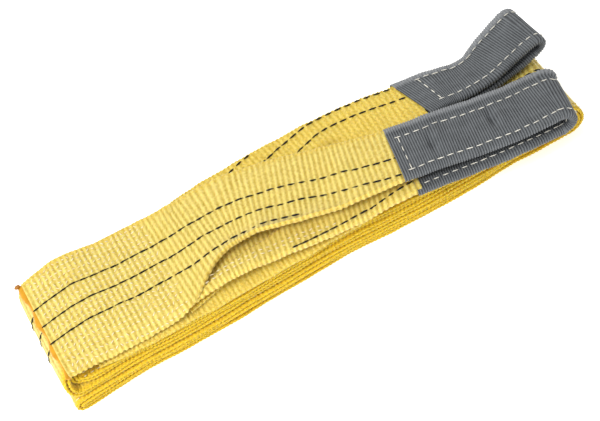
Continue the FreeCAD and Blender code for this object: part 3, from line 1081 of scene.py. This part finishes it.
# %% Rows of stitches
def rows_of_stitches(name, lines, pitch, length, radius, yarn, disorder=0.05, seed=1):
    """lines: arrays of points in millimetres, each laid with stitches."""
    points = np.concatenate(lines) * MM
    edges, first = [], 0
    for line in lines:
        edges += [(first + n, first + n + 1) for n in range(len(line) - 1)]
        first += len(line)
    mesh = bpy.data.meshes.new(name + "_lines")
    mesh.from_pydata(points.tolist(), edges, [])
    guide = add_object(name + "_lines", mesh)
    modifier = guide.modifiers.new("stitches", "NODES")
    modifier.node_group = STITCHES
    wanted = {
        "Pitch": pitch * MM,
        "Length": length * MM,
        "Radius": radius * MM,
        "Disorder": disorder,
        "Seed": seed,
        "Yarn": yarn,
    }
    for item in STITCHES.interface.items_tree:
        if item.in_out == "INPUT" and item.name in wanted:
            modifier[item.identifier] = wanted[item.name]
    ready = guide.evaluated_get(bpy.context.evaluated_depsgraph_get())
    made = add_object(name, bpy.data.meshes.new_from_object(ready))
    bpy.data.objects.remove(guide)
    print(f"{name}: {len(made.data.polygons)} faces in {len(lines)} rows")
    return made


def face_line(on_face, start, end, from_edge, lift=0.0, step=2.0):
    """A line on a leg's upper face; from_edge is a number or rows of x and distance."""
    at = np.linspace(start, end, max(int(abs(end - start) / step), 2))
    if np.isscalar(from_edge):
        return np.array([on_face(x, from_edge, lift) for x in at])
    stations, values = np.array(from_edge, float).T
    return np.array([on_face(x, float(through(stations, values, x)), lift) for x in at])


def body_line(start, end, reach, lift=0.0, step=1.5):
    """A line on the folded body's outer surface, from one length along it to another."""
    at = np.arange(start, end, step)
    return np.array([on_outer(run, reach, lift) for run in at])


# %% Tracers
FAR_TRACER, MID_TRACER, NEAR_TRACER = 27.5, 43.5, 59.5
DASH = {"pitch": 7.2, "length": 5.8, "radius": 0.70, "yarn": tracer_yarn, "disorder": 0.04}
GAP = {"pitch": 7.2, "length": 4.0, "radius": 0.40, "yarn": tracer_yarn, "disorder": 0.06}
START = LAP_START + 1.5


def tracer(name, line_at):
    """Black dashes, and the same yarn thinner between them. line_at(shift) gives the lines."""
    black = rows_of_stitches(name + "_dashes", line_at(0.0), **DASH)
    sunk = rows_of_stitches(name + "_gaps", line_at(DASH["pitch"] / 2), **GAP)
    return [black, sunk]


def near_tracer_lines(shift):
    begin = START + shift
    flap = [(-20.0, -1.0), (30.0, -4.5), (NEAR_MOUTH, -8.5)]
    return [
        face_line(on_near_upper, begin, NEAR_MOUTH + 2, FAR_TRACER),
        face_line(on_near_upper, begin, NEAR_MOUTH + 2, MID_TRACER),
        face_line(on_near_upper, begin, -10.0, NEAR_TRACER),
        face_line(on_near_lower, -20.0 + shift, NEAR_MOUTH, flap, lift=PLY + FLAP_GAP),
    ]


def back_tracer_lines(shift):
    first = [(-60.0, 20.0), (-27.5, 6.4), (-12.0, 2.6)]
    second = [(-60.0, 34.0), (-30.0, 22.0), (-3.0, 13.0), (38.6, 3.2), (60.0, 2.4), (97.0, 2.6)]
    third = [(-60.0, 50.0), (-10.0, 32.0), (19.0, 20.0), (43.0, 13.5), (70.0, 13.5), (105.0, 16.5)]
    return [
        face_line(on_back_upper, -60.0 + shift, -13.0, first),
        face_line(on_back_upper, -60.0 + shift, BACK_MOUTH - 4, second),
        face_line(on_back_upper, -60.0 + shift, BACK_MOUTH + 1, third),
    ]


def body_tracer_lines(shift):
    return [body_line(82.0 + shift, BODY_LENGTH - 2, reach) for reach in (16.0, 0.0, -16.0)]


near_tracers = tracer("near_tracer", near_tracer_lines)
back_tracers = tracer("back_tracer", back_tracer_lines)
body_tracers = tracer("body_tracer", body_tracer_lines)

# %% White stitching of the body
STITCH_LIFT = 0.05
SPLICE_ROWS = [5.0, 8.5, 12.5, 16.5, 20.5, 24.0, 31.5, 35.5, 39.5, 47.5, 51.5, 55.5, 63.0, 67.0]
SPLICE_ROWS += [71.0, 75.0, 79.0, 83.0, 86.5]
splice_thread = rows_of_stitches(
    "splice_thread",
    [
        face_line(on_near_upper, LAP_START + 4 + n % 3, SPLICE_END - 3 + 4 * (n % 2), row, STITCH_LIFT)
        for n, row in enumerate(SPLICE_ROWS)
    ],
    pitch=3.6,
    length=2.9,
    radius=0.37,
    yarn=splice_yarn,
    disorder=0.85,
    seed=7,
)
edge_thread = rows_of_stitches(
    "edge_thread",
    [body_line(112.0, BODY_LENGTH - 100, reach, STITCH_LIFT) for reach in (-38.0, -41.5, 38.0, 41.5)]
    + [face_line(on_near_lower, SPLICE_END + 4, 10.0, -5.5, lift=PLY + FLAP_GAP)]
    + [face_line(on_near_lower, SPLICE_END + 4, 0.0, -9.0, lift=PLY + FLAP_GAP)],
    pitch=5.0,
    length=3.2,
    radius=0.34,
    yarn=splice_yarn,
    disorder=0.3,
    seed=13,
)


# %% White stitching of the sleeves
SLEEVE_STITCH = {"pitch": 6.6, "length": 5.3, "radius": 0.36, "yarn": thread}


def sleeve_thread(name, row, far, near, skips, seed):
    """A long rectangle of stitches on the outer face, and the same rows on the inner one."""
    lines = [row(far, True, skips), row(near, True, skips)]
    for end in (0, -1):
        lines.append(np.linspace(lines[0][end], lines[1][end], 12)[1:-1])
    lines += [row(far, False, skips), row(near, False, skips)]
    return rows_of_stitches(name, lines, **SLEEVE_STITCH, seed=seed)


near_sleeve_thread = sleeve_thread("near_sleeve_thread", near_row, 0.46, -0.78, (8.0, 7.0), 3)
back_sleeve_thread = sleeve_thread("back_sleeve_thread", back_row, 0.64, -0.70, (8.0, 15.0), 5)

# %% Cut end of the lap
CUT_FACE = LAP_START + 0.8


def cut_end():
    """The heat-sealed end: a wedge of melted web down to the fold, with a knob at its far corner."""
    rows, sides = 60, 10
    points = []
    draw = np.random.default_rng(5)
    for n, share in enumerate(np.linspace(0, 1, rows)):
        y = WIDTH / 2 - 0.8 - share * (WIDTH - 1.6)
        out = 4.2 - 1.4 * share + 1.1 * math.sin(n * 0.33) + draw.uniform(-0.25, 0.25)
        top = on_near_upper(LAP_START + 0.4, WIDTH / 2 - y)[2] - 0.35
        low = LAP_Z - 0.2
        for turn in np.linspace(0, 2 * np.pi, sides, endpoint=False):
            slope = 0.5 - 0.5 * math.cos(turn)
            x = CUT_FACE - out * slope
            middle = top - 1.0 - slope * (top - low - 1.2)
            points.append((x, y, middle + 1.0 * math.sin(turn)))
    rings = np.array(points).reshape(rows, sides, 3)
    across = np.tile(np.arange(sides + 1) * 1.0, (rows, 1))
    marks = np.zeros(rows * sides)
    return skin("sealed_cut", rings, across, np.arange(rows) * 1.5, marks, sealed)


sealed_cut = cut_end()
knob = (LAP_START - 3.0, WIDTH / 2 - 0.4, LAP_Z + 2.0)
bpy.ops.mesh.primitive_uv_sphere_add(segments=20, ring_count=12, radius=1.7 * MM)
sealed_knob = bpy.context.object
sealed_knob.name = "sealed_knob"
for vertex in sealed_knob.data.vertices:
    x, y, z = vertex.co
    lump = 1 + 0.16 * math.sin(x * 2600 + y * 1900) * math.cos(z * 1700)
    vertex.co = Vector([c * lump * k + p * MM for c, k, p in zip((x, y, z), (1.3, 0.9, 0.9), knob)])
sealed_knob.data.shade_smooth()
sealed_knob.data.materials.append(melted)

# %% [markdown]
# ## What moves with what
# The eyes lift, so each sleeve rides on its eye. The legs and the legs' tracers are left where they were
# made, on no body.

# %% Bodies
for piece in (outer, inner, splice_thread, edge_thread, sealed_cut, sealed_knob):
    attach(piece, "root")
for piece in body_tracers:
    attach(piece, "root")
for piece in (near_cover, near_sleeve_thread):
    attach(piece, "near_eye")
for piece in (back_cover, back_sleeve_thread):
    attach(piece, "back_eye")
for piece in (near_upper, near_lower, *near_tracers):
    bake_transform(piece)
for piece in (back_upper, back_lower, *back_tracers):
    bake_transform(piece)

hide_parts("body_outer_ply", "body_edge_stitching")
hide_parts("body_inner_ply")
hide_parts("splice_lap_ply", "near_eye_upper_leg")
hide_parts("near_eye_lower_leg")
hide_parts("back_eye_upper_leg")
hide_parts("back_eye_lower_leg", "back_margin_stitching")
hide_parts("near_splice_stitching", "back_splice_stitching", "near_margin_stitching")
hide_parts("near_eye_sleeve", "near_eye_loop")
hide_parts("back_eye_sleeve", "back_eye_loop")
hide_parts("near_sleeve_stitching")
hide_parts("back_sleeve_stitching")

# %% [markdown]
# ## Floor


# %% Floor
bpy.ops.mesh.primitive_plane_add(size=20)
floor = bpy.context.object
floor.name = "floor"
paint, tree, shader = new_material("floor_paint")
put(shader, "Base Color", (0.93, 0.93, 0.93, 1))
put(shader, "Roughness", 0.9)
put(shader, "Emission Color", (1, 1, 1, 1))
put(shader, "Emission Strength", 0.55)
floor.data.materials.append(paint)
